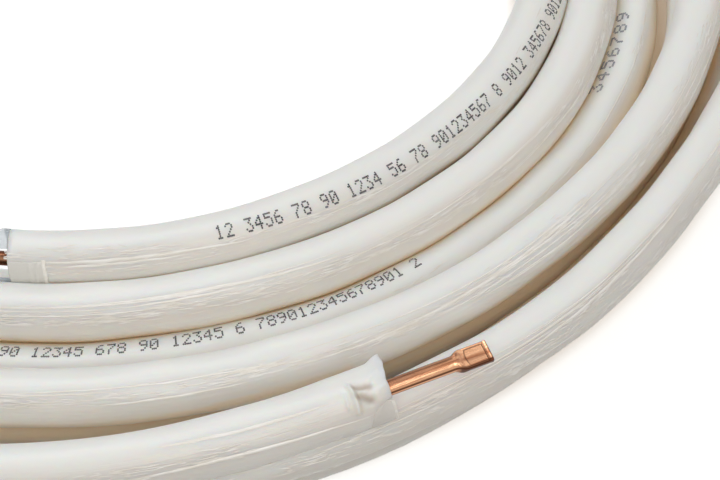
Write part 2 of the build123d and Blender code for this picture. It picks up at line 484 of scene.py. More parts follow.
# The film at the two cut ends
endFilm = {
    "wrapLength": 27.0,        # the outer end is wrapped in film this far back
    "wrapStart": 13.0,         # length over which it rises off the foam
    "wrapRise": (0.25, 0.1),   # how far, and how much that varies
    "wrapWaves": (9, 0.12),    # in waves round the sleeve that lean by this much a mm
    "wrapRows": 90,
    "crowding": 0.8,           # under 1 the rows crowd towards the edge
    # folds of the wrap: height and width, then mm back from the cut and degrees round from mark to mark
    "folds": (
        (2.2, 1.2, ((12.9, 80), (12.3, 58), (12.9, 32))),
        (0.5, 0.8, ((15.2, 72), (15.8, 44))),
        (-1.3, 1.5, ((11.0, 76), (6.2, 67))),
        (-1.8, 1.6, ((11.1, 58), (7.4, 42))),
        (0.7, 0.8, ((8.8, 62), (4.5, 68))),
        (0.9, 3.4, ((4.2, 46), (3.6, 40))),
        (0.35, 0.9, ((6.6, 74), (1.0, 96))),
        (0.3, 0.8, ((5.0, 52), (0.0, 60))),
    ),
    "hollow": -1.0,            # folds deeper than this get painted shade
    # where the film ends: degrees round, mm back from the cut
    "edge": ((-90, -0.8), (30, -0.5), (48, -0.3), (69, -1.1), (100, -2.5), (138, -3.6), (150, -2.0),
             (270, -0.8)),
    "ragged": ((0.2, 5, 1.0), (0.12, 12, 0.0)),   # waves of that edge: height, number and phase
    "corner": (1.6, 138, 10),  # a corner of film that stands up: height, place and width
    "underEdge": ((-0.12, 0.15), (0.5, 0.35), (2.5, 1.4)),   # back under the edge, and how far below it
    "slant": 2.0,              # the inner end is cut on a slant, this far in on the side that faces out
}


def onEnd(outer, back, around, lift):
    # points round a cut end, where a negative back is beyond the cut, and their places on the skin
    back, around, lift = np.broadcast_arrays(np.asarray(back, float), around, lift)
    edge = windAngles[-1] if outer else windAngles[0]
    side = 1 if outer else -1
    radius = np.interp(edge, windAngles, windRadius)
    angles = edge - side * np.degrees(np.maximum(back, 0) / radius)
    centre, out, up, along = framesAt(angles)
    ahead = np.cross(up, out) * side
    phi = np.radians(around)
    share = winding["thinness"][-1 if outer else 0][1]
    reach = winding["sleeve"] / 2 * share + reliefAt(along, phi) + lift
    if outer:
        reach = reach - roundedEnd(back, around)
    direction = out * np.cos(phi)[..., None] + up * np.sin(phi)[..., None]
    points = centre + direction * reach[..., None] + ahead * np.maximum(-back, 0)[..., None]
    return points * mm, skinPlaces((along - np.minimum(back, 0)) * mm, phi)


def foldAt(back, around, marks, width):
    # 1 on the line from mark to mark, falling off on both sides
    across = np.radians(around) * winding["sleeve"] / 2
    share = 0.0
    for (firstBack, firstAround), (lastBack, lastAround) in zip(marks, marks[1:]):
        start = np.array([firstBack, math.radians(firstAround) * winding["sleeve"] / 2])
        run = np.array([lastBack, math.radians(lastAround) * winding["sleeve"] / 2]) - start
        part = ((back - start[0]) * run[0] + (across - start[1]) * run[1]) / run.dot(run)
        part = np.clip(part, 0, 1)
        apart = np.hypot(back - start[0] - part * run[0], across - start[1] - part * run[1])
        share = np.maximum(share, bell(apart, 0, width))
    return share


def wrapLift(back, around):
    # how far the gathered film stands off the foam, in mm
    length, (rise, ripple), (waves, lean) = (endFilm[key] for key in ("wrapLength", "wrapRise", "wrapWaves"))
    started = 1 - smoothStep(back, length - endFilm["wrapStart"], length)
    lift = started * (rise + ripple * np.sin(np.radians(around) * waves + back * lean))
    for height, width, marks in endFilm["folds"]:
        lift = lift + height * foldAt(back, around, marks, width)
    return lift


def wrapEdge(around):
    # the film's ragged edge, as mm back from the cut
    edge = np.interp(around, *zip(*endFilm["edge"]))
    for height, number, phase in endFilm["ragged"]:
        edge = edge + height * np.sin(number * np.radians(around) + phase)
    return edge


# The sleeve
sleeve = {
    "sides": 48,
    "fineStep": 3.0,           # mm between rings at the front
    "coarseStep": 12.0,        # and elsewhere, so that the sleeve stays below 200,000 triangles
    "fineTurns": (0, 2, 3, 6, 7, 8),
    "fineArc": (245.0, 345.0),
    "join": 2.5,               # mm between the last ring and the gathered film
    "edge": 0.8,               # rounding of the cut ends
    "bore": 3.4,               # radius of the hole that the copper sits in
    "boreShown": 14.0,
}


def ringAngles():
    # finer where the photo shows the turns from near, and up to where the outer end's film is gathered
    last = windAngles[-1] - math.degrees((endFilm["wrapLength"] + sleeve["join"]) / windRadius[-1])
    first, final = sleeve["fineArc"]
    angle, rings = windAngles[0], []
    while angle < last - 0.3:
        rings.append(angle)
        turn = int((angle - windAngles[0]) // 360)
        fine = turn in sleeve["fineTurns"] and first < angle % 360 < final
        step = sleeve["fineStep"] if fine else sleeve["coarseStep"]
        angle += math.degrees(step / np.interp(angle, windAngles, windRadius))
    return np.array(rings + [last])


def endLoops(outer, around):
    # from the cut face into the bore
    centre, out, up, along = framesAt(windAngles[-1] if outer else windAngles[0])
    ahead = np.cross(up, out) * (1 if outer else -1)
    phi = np.radians(around)
    direction = out * np.cos(phi)[:, None] + up * np.sin(phi)[:, None]
    loops = [(sleeve["bore"], 0.0), (sleeve["bore"], -sleeve["boreShown"])]
    if not outer:
        loops.insert(0, (winding["sleeve"] / 2 - sleeve["edge"], 0.0))
    slant = 0 if outer else endFilm["slant"] * np.cos(phi)[:, None]
    points, places = [], []
    for reach, forward in loops:
        points.append(centre + direction * reach + ahead * (forward - slant))
        places.append(np.stack([0 * phi + along, reach * np.cos(phi), reach * np.sin(phi)], -1))
    return np.array(points) * mm, np.array(places) * mm


def gatheredFilm(around):
    # rows of points from where the film lies flat to its ragged edge, and back under that edge
    length = endFilm["wrapLength"]
    share = np.linspace(0, 1, endFilm["wrapRows"])[:, None] ** endFilm["crowding"]
    back = length + (wrapEdge(around) - length) * share
    height, *corner = endFilm["corner"]
    lift = wrapLift(back, around) + height * bell(around, *corner) * smoothStep(-back, -3, 2.5)
    inward, below = np.array(endFilm["underEdge"]).T[..., None]
    back = np.concatenate([back, wrapEdge(around) + inward])
    lift = np.concatenate([lift, lift[-1] - below])
    # painted shade in the deepest folds
    hollow = sum(foldAt(back, around + 0 * back, marks, width * 0.9)
                 for height, width, marks in endFilm["folds"] if height < endFilm["hollow"])
    points, places = onEnd(True, back, around + 0 * back, lift)
    return points, places, np.clip(hollow, 0, 1)


def buildSleeve():
    rings, sides = ringAngles(), sleeve["sides"]
    around = np.linspace(-90, 270, sides, endpoint=False)
    points = onSleeve(rings[:, None] + 0 * around, around + 0 * rings[:, None])
    places = skinPlaces(framesAt(rings)[3][:, None] * mm, np.radians(around)[None, :])
    # painted shade: a warm tint where the other turns close the skin in
    closed = shelterAt(rings[:, None], around[None, :]).reshape(len(rings), sides)
    high = smoothStep(points[..., 2] / mm, *shelter["levels"])
    paintedShade = (1 - high) * smoothStep(closed, *shelter["low"]) + high * smoothStep(closed, *shelter["high"])
    loops, loopPlaces = endLoops(False, around)
    # the first ring goes back with the slant of the cut
    points[0] += loops[0] - onEnd(False, 0, around, -sleeve["edge"] - reliefAt(0, np.radians(around)))[0]
    points = np.concatenate([loops[::-1], points]).reshape(-1, 3)
    places = np.concatenate([loopPlaces[::-1], places]).reshape(-1, 3)
    faces = gridFaces(len(rings) + len(loops), sides) + [tuple(range(sides))[::-1]]

    # the film at the outer end has three times as many points round it
    ratio = 3
    fineSides = ratio * sides
    fineAround = np.linspace(-90, 270, fineSides, endpoint=False)
    film, filmPlaces, hollow = gatheredFilm(fineAround)
    loops, loopPlaces = endLoops(True, fineAround)
    start = len(points)
    for side in range(sides):
        after = (side + 1) % sides
        fine = [start + ratio * side + step for step in range(ratio)]
        faces.append((start - sides + side, start - sides + after, start + ratio * after, *fine[::-1]))
    rows = len(film) + len(loops)
    faces += gridFaces(rows, fineSides, start)
    faces.append(tuple(range(start + (rows - 1) * fineSides, start + rows * fineSides)))
    points = np.concatenate([points, film.reshape(-1, 3), loops.reshape(-1, 3)])
    places = np.concatenate([places, filmPlaces.reshape(-1, 3), loopPlaces.reshape(-1, 3)])
    piece = meshPiece("foamSleeveWound", points, faces, filmSkin, flipped=True)
    storePlaces(piece, places)
    for name, first, values in (("paintedShadeBetweenTurns", start - paintedShade.size, paintedShade), ("paintedFoldShade", start, hollow)):
        column = np.zeros(len(points))
        column[first:first + values.size] = values.ravel()
        storeValue(piece, name, column)
    return piece


foamSleeve = buildSleeve()
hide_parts("foam_sleeve")
print("sleeve built:", sum(len(face.vertices) - 2 for face in foamSleeve.data.polygons), "triangles")

# Counting marks: plain running digits, jetted as small dots in five columns and seven rows
digitDots = {
    "0": ("01110", "10001", "10011", "10101", "11001", "10001", "01110"),
    "1": ("00100", "01100", "00100", "00100", "00100", "00100", "01110"),
    "2": ("01110", "10001", "00001", "00010", "00100", "01000", "11111"),
    "3": ("11111", "00010", "00100", "00010", "00001", "10001", "01110"),
    "4": ("00010", "00110", "01010", "10010", "11111", "00010", "00010"),
    "5": ("11111", "10000", "11110", "00001", "00001", "10001", "01110"),
    "6": ("00110", "01000", "10000", "11110", "10001", "10001", "01110"),
    "7": ("11111", "00001", "00010", "00100", "01000", "01000", "01000"),
    "8": ("01110", "10001", "10001", "01110", "10001", "10001", "01110"),
    "9": ("01110", "10001", "10001", "01111", "00001", "00010", "01100"),
}
markLines = {
    # digits, ink, turn, first angle, advance, column and row spacing, dot size, and where round the
    # sleeve by angle
    "countInner": {"digits": "12 3456 78 90 1234 56 78 901234567 8 9012 345678 90123", "ink": "fresh",
                   "turn": 0, "start": -87.2, "advance": 4.1, "column": 0.62, "row": 0.92,
                   "dot": (0.4, 0.5), "around": ((-87, 61), (-67, 52), (-50, 53), (-33, 46), (-22, 43))},
    "countMiddle": {"digits": "90 12345 678 90 12345 6 789012345678901 2", "ink": "fresh",
                    "turn": 3, "start": -110.5, "advance": 4.45, "column": 0.72, "row": 0.92,
                    "dot": (0.42, 0.5), "around": ((-110, 97), (-95, 96), (-80, 95), (-72, 98), (-66, 102))},
    "countFar": {"digits": "3456789", "ink": "rubbed",
                 "turn": 3, "start": -37.0, "advance": 9.2, "column": 1.25, "row": 0.95,
                 "dot": (0.8, 0.6), "around": ((-36, 116), (-22, 110))},
}
inkDot = {
    "thickness": 0.05,         # real ink is far thinner: it is raised so that it shows
    "sides": 6,
    "blotch": 4.0,             # length of the paler places
    "dried": (0.35, 0.75),     # the noise from full ink to dried out
}


def printCount(name, line, material):
    start = np.interp(line["turn"] * 360 + line["start"], lengthAngles, lengthAlong)
    alongs, arounds = [], []
    for index, digit in enumerate(line["digits"]):
        for row, dots in enumerate(digitDots.get(digit, ())):
            for column, dot in enumerate(dots):
                if dot == "1":
                    alongs.append(start + index * line["advance"] + column * line["column"])
                    arounds.append((3 - row) * line["row"])
    sides = inkDot["sides"]
    corner = np.linspace(0, 2 * math.pi, sides, endpoint=False)
    cornerAlong = np.array(alongs)[:, None] + line["dot"][0] * np.cos(corner)
    cornerAround = np.array(arounds)[:, None] + line["dot"][1] * np.sin(corner)
    angles = np.interp(cornerAlong, lengthAlong, lengthAngles)
    middle = np.interp(angles - line["turn"] * 360, *zip(*line["around"]))
    phi = middle + np.degrees(cornerAround / (winding["sleeve"] / 2))
    low, high = onSleeve(angles, phi, -inkDot["thickness"]), onSleeve(angles, phi, inkDot["thickness"])
    points, faces = [], []
    for dot in range(len(alongs)):
        base = len(points)
        points.extend([*low[dot], *high[dot]])
        faces += gridFaces(2, sides, base)
        faces.append(tuple(range(base, base + sides))[::-1])
        faces.append(tuple(range(base + sides, base + 2 * sides)))
    piece = meshPiece(name, points, faces, material, smooth=False)


def jettedInk(name, dark, pale):
    # Solvent ink jetted onto polyethylene: grey, matt, thinner where a dot dried out
    material, tree = newMaterial(name)
    place = addNode(tree, "ShaderNodeTexCoord").outputs["Object"]
    noise = addNode(tree, "ShaderNodeTexNoise",
                    inputs={"Vector": place, "Scale": 1000 / inkDot["blotch"], "Detail": 2.0}).outputs["Fac"]
    full, gone = inkDot["dried"]
    dried = addNode(tree, "ShaderNodeMapRange",
                    inputs={"Value": noise, "From Min": full, "From Max": gone}).outputs["Result"]
    tone = addNode(tree, "ShaderNodeMix", {"data_type": "RGBA"},
                   {0: dried, 6: linearColour(dark), 7: linearColour(pale)}).outputs[2]
    shader = addNode(tree, "ShaderNodeBsdfPrincipled", inputs={"Base Color": tone, "Roughness": 0.6})
    addNode(tree, "ShaderNodeOutputMaterial", inputs={"Surface": shader.outputs["BSDF"]})
    return material


# Wrinkles of the film, raised as thin ridges on the skin and a little wider than real ones
wrinkles = {
    "seed": 5,
    "patchEvery": 30.0,        # mm from one patch of short wrinkles to the next
    "patchLength": (30.0, 80.0),
    "perPatch": (14, 46),      # at the back and at the front
    "spread": 8.0,             # degrees round the sleeve
    "where": (8.0, 56.0),      # the middles of the patches
    "fan": 2.2,                # how far a wrinkle turns round the sleeve
    "length": (2.5, 10.0),
    "width": (0.38, 0.7),
    "height": (0.14, 0.33),
    "longEvery": 26.0,         # mm from one long crease to the next
    "longLength": (50.0, 190.0),
    "longWidth": (0.45, 0.9),
    "longHeight": (0.12, 0.28),
    "longWhere": (0.0, 64.0),
    "longFan": 5.0,
    "longWave": 1.2,
    "endWidth": 0.35,          # a ridge's width at its ends, as a share of that at its middle
    "sunk": 0.04,              # its sides go into the skin by this much
    "openTo": 0.5,             # none where the skin is more closed in than this
    "offMarks": 17.0,          # and none this near to a line of marks
    # turn, then angle and place round the tube from mark to mark, width, height
    "seams": (
        (0, ((-108.8, 41), (-94.9, 40), (-89.3, 38), (-84.3, 31)), 1.6, 0.4),
        (0, ((-106.0, 32), (-96.0, 33), (-90.0, 30)), 1.2, 0.25),
        (2, ((-104.0, 60), (-90.0, 62), (-74.0, 50)), 1.4, 0.3),
        (2, ((-98.0, 50), (-86.0, 52)), 1.2, 0.25),
        (6, ((-84.0, 40), (-79.0, 40), (-63.9, 52), (-53.7, 58)), 1.5, 0.3),
        (6, ((-100.0, 30), (-88.0, 34)), 1.3, 0.3),
        (7, ((-72.0, 30), (-60.0, 44), (-48.0, 52)), 1.4, 0.3),
        (8, ((-99.0, 17), (-95.6, 19), (-89.9, 23), (-86.1, 19), (-83.1, 15), (-80.6, 12)), 1.7, 0.45),
        (8, ((-95.0, 70), (-91.2, 68), (-87.0, 65), (-83.4, 63)), 1.5, 0.35),
    ),
}


def overWrap(angles, around):
    # how much higher than the foam the gathered film lies at the outer end
    back = np.radians(windAngles[-1] - angles) * windRadius[-1]
    return np.where(back < endFilm["wrapLength"], wrapLift(back, around), 0)


def ridgeMesh(angles, around, width, height, columns):
    # ridges that taper to nothing at both ends: angles and around hold one row of stations for each
    taper = 1 - np.linspace(-1, 1, angles.shape[1]) ** 2
    side = np.linspace(-1, 1, columns)
    atEnd = wrinkles["endWidth"]
    reach = width[:, None] * (atEnd + (1 - atEnd) * taper)
    phi = around[..., None] + np.degrees(reach[..., None] * side / winding["sleeve"])
    crest = (height[:, None] * taper)[..., None] * (1 - np.abs(side)) ** 0.8
    lift = crest - wrinkles["sunk"] + overWrap(angles[..., None], phi)
    points = onSleeve(angles[..., None] + 0 * phi, phi, lift)
    along = framesAt(angles)[3][..., None] * mm
    places = skinPlaces(along, np.radians(phi))
    count, stations = angles.shape
    firsts = np.arange(count)[:, None, None] * stations * columns
    faces = (firsts + sheetFaces(stations, columns)).reshape(-1, 4)
    return points.reshape(-1, 3), places.reshape(-1, 3), faces


def atFront(along):
    # whether the coil's front shows the turn there
    around = np.interp(along, lengthAlong, lengthAngles) % 360
    return (around > 240) & (around < 350)


def clearPlaces(angles, around):
    # ridges are left out where the other turns close the skin in, and on the lines of counting marks
    middle, place = angles[:, angles.shape[1] // 2], around[:, around.shape[1] // 2]
    clear = shelterAt(middle, place) < wrinkles["openTo"]
    for line in markLines.values():
        here = middle - line["turn"] * 360
        degrees, arounds = zip(*line["around"])
        onLine = (here > degrees[0] - 3) & (here < degrees[-1] + 6)
        near = np.abs(place - np.interp(here, degrees, arounds)) < wrinkles["offMarks"]
        clear &= ~(onLine & near)
    return clear


def scatteredWrinkles(w, dice):
    patches = np.arange(20.0, lengthAlong[-1] - 60, w["patchEvery"])
    counts = np.where(atFront(patches), w["perPatch"][1], w["perPatch"][0])
    patch = np.repeat(np.arange(len(patches)), counts)
    total = len(patch)
    reach = dice.uniform(*w["patchLength"], len(patches))
    middle = dice.uniform(*w["where"], len(patches))
    along = patches[patch] + reach[patch] * (dice.random(total) - 0.5)
    around = middle[patch] + dice.normal(0, w["spread"], total)
    length = dice.uniform(*w["length"], total)
    share = np.linspace(-0.5, 0.5, 5)
    angles = np.interp(along[:, None] + length[:, None] * share, lengthAlong, lengthAngles)
    around = around[:, None] + dice.normal(0, w["fan"], total)[:, None] * share
    clear = clearPlaces(angles, around)
    return ridgeMesh(angles[clear], around[clear], dice.uniform(*w["width"], total)[clear],
                     dice.uniform(*w["height"], total)[clear], 3)


def scatteredCreases(w, dice):
    total = int(lengthAlong[-1] / w["longEvery"])
    along = dice.uniform(100, lengthAlong[-1] - 160, total)
    length = dice.uniform(*w["longLength"], total)
    share = np.linspace(-0.5, 0.5, 25)
    angles = np.interp(along[:, None] + length[:, None] * share, lengthAlong, lengthAngles)
    around = dice.uniform(*w["longWhere"], total)[:, None]
    around = around + dice.normal(0, w["longFan"], total)[:, None] * share
    waves, phases = dice.uniform(3, 12, total)[:, None], dice.uniform(0, 6, total)[:, None]
    around = around + w["longWave"] * np.sin(share * waves + phases)
    clear = clearPlaces(angles, around)
    return ridgeMesh(angles[clear], around[clear], dice.uniform(*w["longWidth"], total)[clear],
                     dice.uniform(*w["longHeight"], total)[clear], 5)


def knownSeams(w):
    meshes = []
    for turn, marks, width, height in w["seams"]:
        degrees, arounds = zip(*marks)
        angles = np.linspace(degrees[0], degrees[-1], 60)
        around = np.interp(angles, degrees, arounds) + 0.5 * np.sin(angles * 1.7)
        meshes.append(ridgeMesh(turn * 360 + angles[None, :], around[None, :], np.array([width]),
                                np.array([height]), 5))
    return meshes


def buildWrinkles():
    dice = np.random.default_rng(wrinkles["seed"])
    meshes = [scatteredWrinkles(wrinkles, dice), scatteredCreases(wrinkles, dice), *knownSeams(wrinkles)]
    points, places, faces, start = [], [], [], 0
    for some, theirPlaces, theirFaces in meshes:
        points.append(some)
        places.append(theirPlaces)
        faces.append(theirFaces + start)
        start += len(some)
    piece = meshPiece("filmWrinkles", np.concatenate(points), np.concatenate(faces), foldedFilm, flipped=True)
    storePlaces(piece, np.concatenate(places))
    return piece


def filmSheet(name, outer, around, backs, lift, material, thickness=0.08):
    # a thin sheet round an end: one row of places round the sleeve by a number of rows towards the cut
    rows, columns = backs.shape
    points, places = onEnd(outer, backs, around + 0 * backs, lift + 0 * backs)
    inner, innerPlaces = onEnd(outer, backs, around + 0 * backs, lift - thickness + 0 * backs)
    quads = sheetFaces(rows, columns)
    half = rows * columns
    faces = quads.tolist() + (quads[:, ::-1] + half).tolist()
    spots = np.arange(half).reshape(rows, columns)
    rim = [*spots[:, 0], *spots[-1, 1:], *spots[-2::-1, -1], *spots[0, -2:0:-1]]
    for first, second in zip(rim, rim[1:] + rim[:1]):
        faces.append((first, second, second + half, first + half))
    piece = meshPiece(name, np.concatenate([points, inner]).reshape(-1, 3), faces, material, flipped=outer)
    storePlaces(piece, np.concatenate([places, innerPlaces]).reshape(-1, 3))


# The loose end of the wrap
flap = {
    "around": (-62, 31),
    "columns": 50,
    "rows": 16,
    # degrees round, then mm back from the cut: where it ends and where it starts
    "edge": ((-62, 3.0), (-50, -0.7), (-37, -1.4), (4, -1.1), (27, -0.9), (31, 1.0)),
    "start": ((-62, 12.0), (0, 11.0), (31, 4.0)),
    "lift": (-0.3, 0.65),      # it comes from inside the foam and rises by this much
    "ripple": (0.15, 7),       # height and number of waves round the sleeve
    # its rim, turned over: mm back and height
    "rim": ((1.1, 0.36), (0.2, 0.56), (-0.15, 0.46)),
    "rimThickness": 0.15,
}


def buildFlap():
    # it keeps the sleeve's round, where the foam below it is pressed in
    around = np.linspace(*flap["around"], flap["columns"])
    share = np.linspace(0, 1, flap["rows"])[:, None]
    height, waves = flap["ripple"]
    ripple = height * np.sin(np.radians(around) * waves)
    edge, start = (np.interp(around, *zip(*flap[key])) for key in ("edge", "start"))
    backs = start + (edge - start) * share
    lift = flap["lift"][0] + flap["lift"][1] * smoothStep(share, 0, 0.35) + ripple * share
    filmSheet("looseFlap", True, around[None, :], backs, lift + roundedEnd(backs, around), flapFilm)
    back, height = np.array(flap["rim"]).T[..., None]
    rim = edge + back
    filmSheet("flapRim", True, around[None, :], rim, height + ripple + roundedEnd(rim, around), foldedFilm,
              flap["rimThickness"])


# Clear tape round the inner end, and the film that goes on beyond the cut
tape = {
    "length": 16.4,
    "around": (-84, 41),
    "short": 0.2,              # it ends this far short of the cut
    "lift": 0.3,
    "creases": ((0.3, 13.0, 0.02, 0.6), (0.25, 10.8, -0.01, 0.8)),   # height, back, lean and width
    "thickness": 0.3,
    "edgeAround": (-40, 46),
    "edgeSwell": ((-40, -10), (34, 46)),    # where its raised edge rises and falls
    "edgeRows": ((0.9, 0.08), (0.3, 0.5), (-0.3, 0.5), (-0.9, 0.08)),   # mm back and height
    "edgeWave": (0.25, 6),     # height and number of waves round the sleeve
    "edgeLift": 0.1,
    "beyond": 7.0,
    "beyondWaves": ((1.5, 2), (0.6, 5)),
    "curl": (0.03, 0.35, 3),   # how far the film stands off, how much more at its edge, and in waves
    "filmThickness": 0.06,
    "sheets": (("filmBeyondTop", 66, 205), ("filmBeyondBase", -88, 6)),
    "overlap": 0.3,            # what of the film lies on the foam
    "columns": 60,
}


def buildTape():
    around = np.linspace(*tape["around"], tape["columns"])
    slant = endFilm["slant"] * np.cos(np.radians(around))
    share = np.linspace(0, 1, 60)[:, None]
    backs = tape["length"] + (tape["short"] + slant - tape["length"]) * share
    lift = tape["lift"]
    for height, back, lean, width in tape["creases"]:
        lift = lift + height * bell(backs, back + lean * around, width)
    filmSheet("clearTape", False, around[None, :], backs, lift, smoothTape, tape["thickness"])

    for name, first, last in tape["sheets"]:
        around = np.linspace(first, last, tape["columns"])
        turn = np.radians(around)
        start = tape["overlap"] + endFilm["slant"] * np.cos(turn)
        beyond = tape["beyond"] + sum(height * np.sin(turn * waves) for height, waves in tape["beyondWaves"])
        share = np.linspace(0, 1, 10)[:, None]
        lift, curl, waves = tape["curl"]
        filmSheet(name, False, around[None, :], start - (start + beyond) * share,
                  lift + curl * np.sin(turn * waves) * share, tapeFilm, tape["filmThickness"])

    around = np.linspace(*tape["edgeAround"], tape["columns"])
    rise, fall = tape["edgeSwell"]
    swell = smoothStep(around, *rise) * (1 - smoothStep(around, *fall))
    back, height = np.array(tape["edgeRows"]).T[..., None]
    wave, waves = tape["edgeWave"]
    rim = tape["length"] + wave * np.sin(np.radians(around) * waves) + back
    filmSheet("tapeEdge", False, around[None, :], rim, tape["edgeLift"] + swell * height, foldedFilm,
              tape["thickness"])


# Bare copper ends
copperTube = {
    "radius": 3.175,
    "wall": 0.8,
    "sides": 72,
    "inside": 14.0,            # how far it reaches back into the sleeve
    "rounding": 0.15,          # of the cut ends
    "innerStraight": 28.7,     # bare length at the inner end
    "innerBore": 16.0,         # how deep its hole is made
    "outerStraight": 29.0,     # bare length before the neck
    "bend": (0.028, 0.03),     # the outer end is bent out and down a little
    "neck": 4.7,
    "neckLag": (1.6, 0.6),     # it is pressed flat this much later than it widens, at its start and end
    "flat": 10.8,
    "flatWidth": 9.3,
    "flatThick": 2.3,
    "squareness": 4.0,         # how much squarer than a circle the flat is
    "tilt": 12.0,              # the flat leans towards the near side
    "imprint": (0.6, 9.2),     # where the jaw's imprint starts and ends on the flat
    "imprintNose": 1.4,        # the jaw's nose is rounded
    "imprintRim": 1.0,
    "imprintDepth": 0.55,
    "lip": 0.3,                # the end stands up this much behind the imprint
    "slit": 0.55,
    # painted reflection: dark lines along the round tube, where it mirrors dark surroundings: degrees round,
    # width in degrees, strength
    "tarnishAndPaintedShade": ((93, 14, 0.8), (9, 10, 1.4), (29, 9, 0.3), (131, 10, 0.9), (-45, 12, 0.7)),
}


def loftPiece(name, rings, tarnishAndPaintedShade, frameOfEnd, flipped=False):
    # rings of points joined in order, with both ends filled
    sides = len(rings[0])
    points = np.concatenate(rings)
    faces = gridFaces(len(rings), sides)
    faces.append(tuple(range(sides))[::-1])
    faces.append(tuple(range(len(points) - sides, len(points))))
    piece = meshPiece(name, points, faces, copper, flipped=flipped)
    storeValue(piece, "tarnishAndPaintedShade", tarnishAndPaintedShade)
    centre, out, up, ahead = frameOfEnd
    storePlaces(piece, (points - centre * mm) @ np.stack([ahead, out, up], 1))
    return piece


def endFrame(outer):
    centre, out, up, _ = framesAt(windAngles[-1] if outer else windAngles[0])
    ahead = np.cross(up, out) * (1 if outer else -1)
    if outer:
        outward, downward = copperTube["bend"]
        ahead = ahead + outward * out - downward * up
        ahead /= np.linalg.norm(ahead)
        out = out - ahead * out.dot(ahead)
        out /= np.linalg.norm(out)
        up = np.cross(out, ahead)
    return centre, out, up, ahead


def copperPoints(frameOfEnd, along, across, rise):
    centre, out, up, ahead = frameOfEnd
    across, rise = np.asarray(across)[..., None], np.asarray(rise)[..., None]
    return (centre + ahead * along + out * across + up * rise) * mm


def reflectionLinesAround(around):
    # the painted reflection lines along a round tube, at each place round it
    around = (np.asarray(around) + 180) % 360 - 180
    return sum(strength * bell(around, middle, width) for middle, width, strength in copperTube["tarnishAndPaintedShade"])


def buildOuterCopper():
    c = copperTube
    frameOfEnd = endFrame(True)
    turn = np.linspace(0, 2 * math.pi, c["sides"], endpoint=False)
    cosine, sine = np.cos(turn), np.sin(turn)
    tilt = math.radians(c["tilt"])
    neckStart, flatStart = c["outerStraight"], c["outerStraight"] + c["neck"]
    end = flatStart + c["flat"]
    paintedReflectionLines = reflectionLinesAround(np.degrees(turn) - c["tilt"])
    rings, tarnishAndPaintedShade = [], []

    def section(halfWidth, halfThick, squareness):
        power = 2 / squareness
        return (halfWidth * np.sign(cosine) * np.abs(cosine) ** power,
                halfThick * np.sign(sine) * np.abs(sine) ** power)

    def addRing(along, x, y, stainAndShade=0.0):
        rings.append(copperPoints(frameOfEnd, along, x * math.cos(tilt) + y * math.sin(tilt),
                                  y * math.cos(tilt) - x * math.sin(tilt)))
        tarnishAndPaintedShade.extend(np.clip(stainAndShade + 0 * x, 0, 1))

    stops = np.concatenate([np.linspace(-c["inside"], neckStart, 16)[:-1], np.linspace(neckStart, end, 96)])
    for along in stops:
        widened = float(smoothStep(along, neckStart, flatStart))
        pressed = float(smoothStep(along, neckStart + c["neckLag"][0], flatStart + c["neckLag"][1]))
        halfWidth = c["radius"] + (c["flatWidth"] / 2 - c["radius"]) * widened
        halfThick = c["radius"] + (c["flatThick"] / 2 - c["radius"]) * pressed
        halfThick += c["lip"] * float(smoothStep(along, flatStart + c["imprint"][1], end))
        x, y = section(halfWidth, halfThick, 2 + c["squareness"] * widened)

        first, last = (flatStart + value for value in c["imprint"])
        first = first + c["imprintNose"] * (x / halfWidth) ** 2
        dent = smoothStep(along, first, first + 0.6) - smoothStep(along, last - 0.4, last)
        dent = dent * smoothStep(halfWidth - c["imprintRim"] - np.abs(x), 0, 0.35)

        # painted shade on the imprint's walls, the cut end, the flat's edges, along one side of the flat and
        # before the lip, and painted reflection in lines along the tube
        stainAndShade = 1.1 * np.clip(4 * dent * (1 - dent), 0, 1) + 0.12 * dent
        stainAndShade = stainAndShade + smoothStep(along, end - 0.5, end)
        stainAndShade = stainAndShade + 0.8 * widened * bell(along, end - 1.3, 0.4)
        stainAndShade = stainAndShade + widened * smoothStep(np.abs(x), halfWidth - 0.45, halfWidth)
        stainAndShade = stainAndShade + 0.8 * widened * smoothStep(x, halfWidth - 1.4, halfWidth - 0.9)
        stainAndShade = stainAndShade + (1 - widened) * paintedReflectionLines
        addRing(along, x, y - np.sign(sine) * c["imprintDepth"] * dent, stainAndShade)

    # over the cut end and down into the slit, with painted shade there
    halfWidth, halfThick = c["flatWidth"] / 2, c["flatThick"] / 2 + c["lip"]
    inWidth, inThick = halfWidth - c["wall"], c["slit"] / 2
    addRing(end + 0.12, *section(halfWidth - c["rounding"], halfThick - c["rounding"], 6), 0.5)
    addRing(end + 0.12, *section(inWidth, inThick + 0.1, 5), 0.5)
    addRing(end - 0.4, *section(inWidth - 0.1, inThick, 5), 1.0)
    addRing(end - 6, *section(inWidth - 0.3, inThick - 0.1, 5), 1.0)
    return loftPiece("copperOuterEnd", rings, tarnishAndPaintedShade, frameOfEnd, flipped=True)


def buildInnerCopper():
    c = copperTube
    frameOfEnd = endFrame(False)
    turn = np.linspace(0, 2 * math.pi, c["sides"], endpoint=False)
    end, radius, inside = c["innerStraight"], c["radius"], c["radius"] - c["wall"]
    profile = [(along, radius) for along in np.linspace(-c["inside"], end - c["rounding"], 14)]
    profile += [(end, radius - c["rounding"]), (end, inside + 0.1), (end - 0.1, inside),
                (end - c["innerBore"], inside)]
    rings = [copperPoints(frameOfEnd, along, reach * np.cos(turn), reach * np.sin(turn))
             for along, reach in profile]
    # an even tarnish, and the painted reflection lines along the tube
    tarnishAndPaintedShade = np.tile(np.clip(0.5 + reflectionLinesAround(np.degrees(turn)), 0, 1), len(rings))
    return loftPiece("copperInnerEnd", rings, tarnishAndPaintedShade, frameOfEnd)


